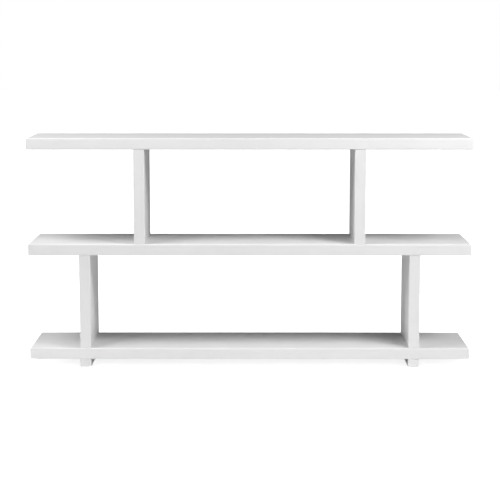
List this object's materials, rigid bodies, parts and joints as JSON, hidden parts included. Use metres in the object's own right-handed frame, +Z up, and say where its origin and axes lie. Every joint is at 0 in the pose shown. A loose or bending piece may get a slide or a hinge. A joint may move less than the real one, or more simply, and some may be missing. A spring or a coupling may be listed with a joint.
{
  "type": "console table",
  "caption": "Open console table: stacked flat shelves on offset panel uprights with low runner feet, plain white lacquer.",
  "frame": {"origin": "on the floor, under the middle of the shelves' 1600 x 300 mm outline", "axes": "+X along the table's length to its right end, +Y to the back (the front faces -Y), +Z up"},
  "size_m": [1.6, 0.3, 0.835],
  "materials": {
    "white_lacquer": "satin lacquer",
    "softwood": "raw",
    "core_paper": "raw",
    "beech": "raw dowel rod",
    "zinc_steel": "bright zinc",
    "zinc_alloy": "raw die-cast zinc",
    "cap_plastic": "moulded, satin",
    "glide_plastic": "moulded polyethylene"
  },
  "bodies": {
    "root": {"bottom_shelf_top_skin": "white_lacquer", "bottom_shelf_bottom_skin": "white_lacquer", "bottom_shelf_front_rail": "white_lacquer", "bottom_shelf_back_rail": "white_lacquer", "bottom_shelf_left_end_rail": "white_lacquer", "bottom_shelf_right_end_rail": "white_lacquer", "bottom_shelf_fixing_blocks": "softwood", "bottom_shelf_core": "core_paper", "middle_shelf_top_skin": "white_lacquer", "middle_shelf_bottom_skin": "white_lacquer", "middle_shelf_front_rail": "white_lacquer", "middle_shelf_back_rail": "white_lacquer", "middle_shelf_left_end_rail": "white_lacquer", "middle_shelf_right_end_rail": "white_lacquer", "middle_shelf_fixing_blocks": "softwood", "middle_shelf_core": "core_paper", "top_shelf_top_skin": "white_lacquer", "top_shelf_bottom_skin": "white_lacquer", "top_shelf_front_rail": "white_lacquer", "top_shelf_back_rail": "white_lacquer", "top_shelf_left_end_rail": "white_lacquer", "top_shelf_right_end_rail": "white_lacquer", "top_shelf_fixing_blocks": "softwood", "top_shelf_core": "core_paper", "lower_left_upright": "white_lacquer", "lower_right_upright": "white_lacquer", "upper_left_upright": "white_lacquer", "upper_right_upright": "white_lacquer", "left_foot": "white_lacquer", "right_foot": "white_lacquer", "upright_dowels": "beech", "foot_dowels": "beech", "cam_bolts": "zinc_steel", "cam_locks": "zinc_alloy", "cam_cover_caps": "cap_plastic", "foot_screws": "zinc_steel", "glides": "glide_plastic"}
  },
  "joints": []
}
